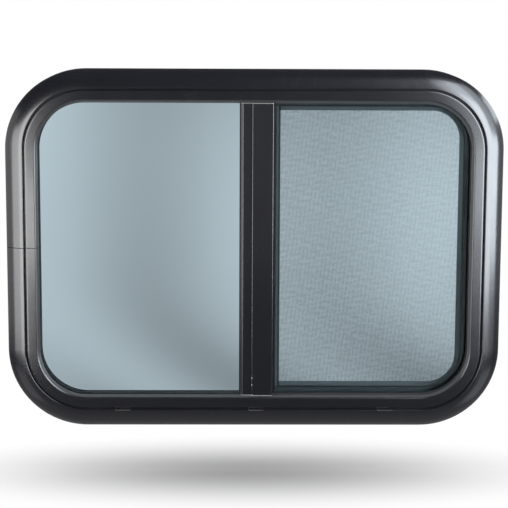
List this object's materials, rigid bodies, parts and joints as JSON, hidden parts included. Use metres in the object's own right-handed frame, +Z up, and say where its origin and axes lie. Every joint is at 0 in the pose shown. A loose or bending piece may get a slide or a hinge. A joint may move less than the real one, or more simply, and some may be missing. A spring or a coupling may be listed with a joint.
{
  "type": "sliding caravan window",
  "caption": "Flush-flanged caravan window with rounded corners: a fixed tinted pane, a sliding pane behind a mullion, an insect screen and an inner clamp ring.",
  "frame": {"origin": "middle of the window on the plane of the flange's back, where the wall's outer skin lies", "axes": "+X to the right seen from outside, +Y into the vehicle, +Z up"},
  "size_m": [0.732, 0.048, 0.532],
  "materials": {
    "frame_black": "satin black powder coat",
    "plain_aluminium": "mill finish",
    "screen_metal": "satin black",
    "tinted_glass": "grey tinted toughened",
    "glazing_rubber": "matt black",
    "seal_rubber": "closed-cell foam skin",
    "felt_channel": "flocked",
    "pile": "woven pile",
    "latch_plastic": "fine grain",
    "glide_plastic": "smooth",
    "mesh_grey": "coated glass-fibre thread"
  },
  "bodies": {
    "root": {"outer_frame": "frame_black", "flange_seal": "seal_rubber", "clamp_ring": "frame_black", "frame_splice": "plain_aluminium", "mullion": "frame_black", "glazing_bead": "frame_black", "fixed_glass": "tinted_glass", "fixed_gasket": "glazing_rubber", "bead_rubber": "glazing_rubber", "sash_glass": "tinted_glass", "sash_run": "felt_channel", "sash_stile": "frame_black", "interlock_pile": "pile", "latch_body": "latch_plastic", "latch_lever": "latch_plastic", "screen_frame": "screen_metal", "screen_spline": "glazing_rubber", "screen_mesh": "mesh_grey", "screen_glides": "glide_plastic", "screen_pull": "latch_plastic"}
  },
  "joints": []
}
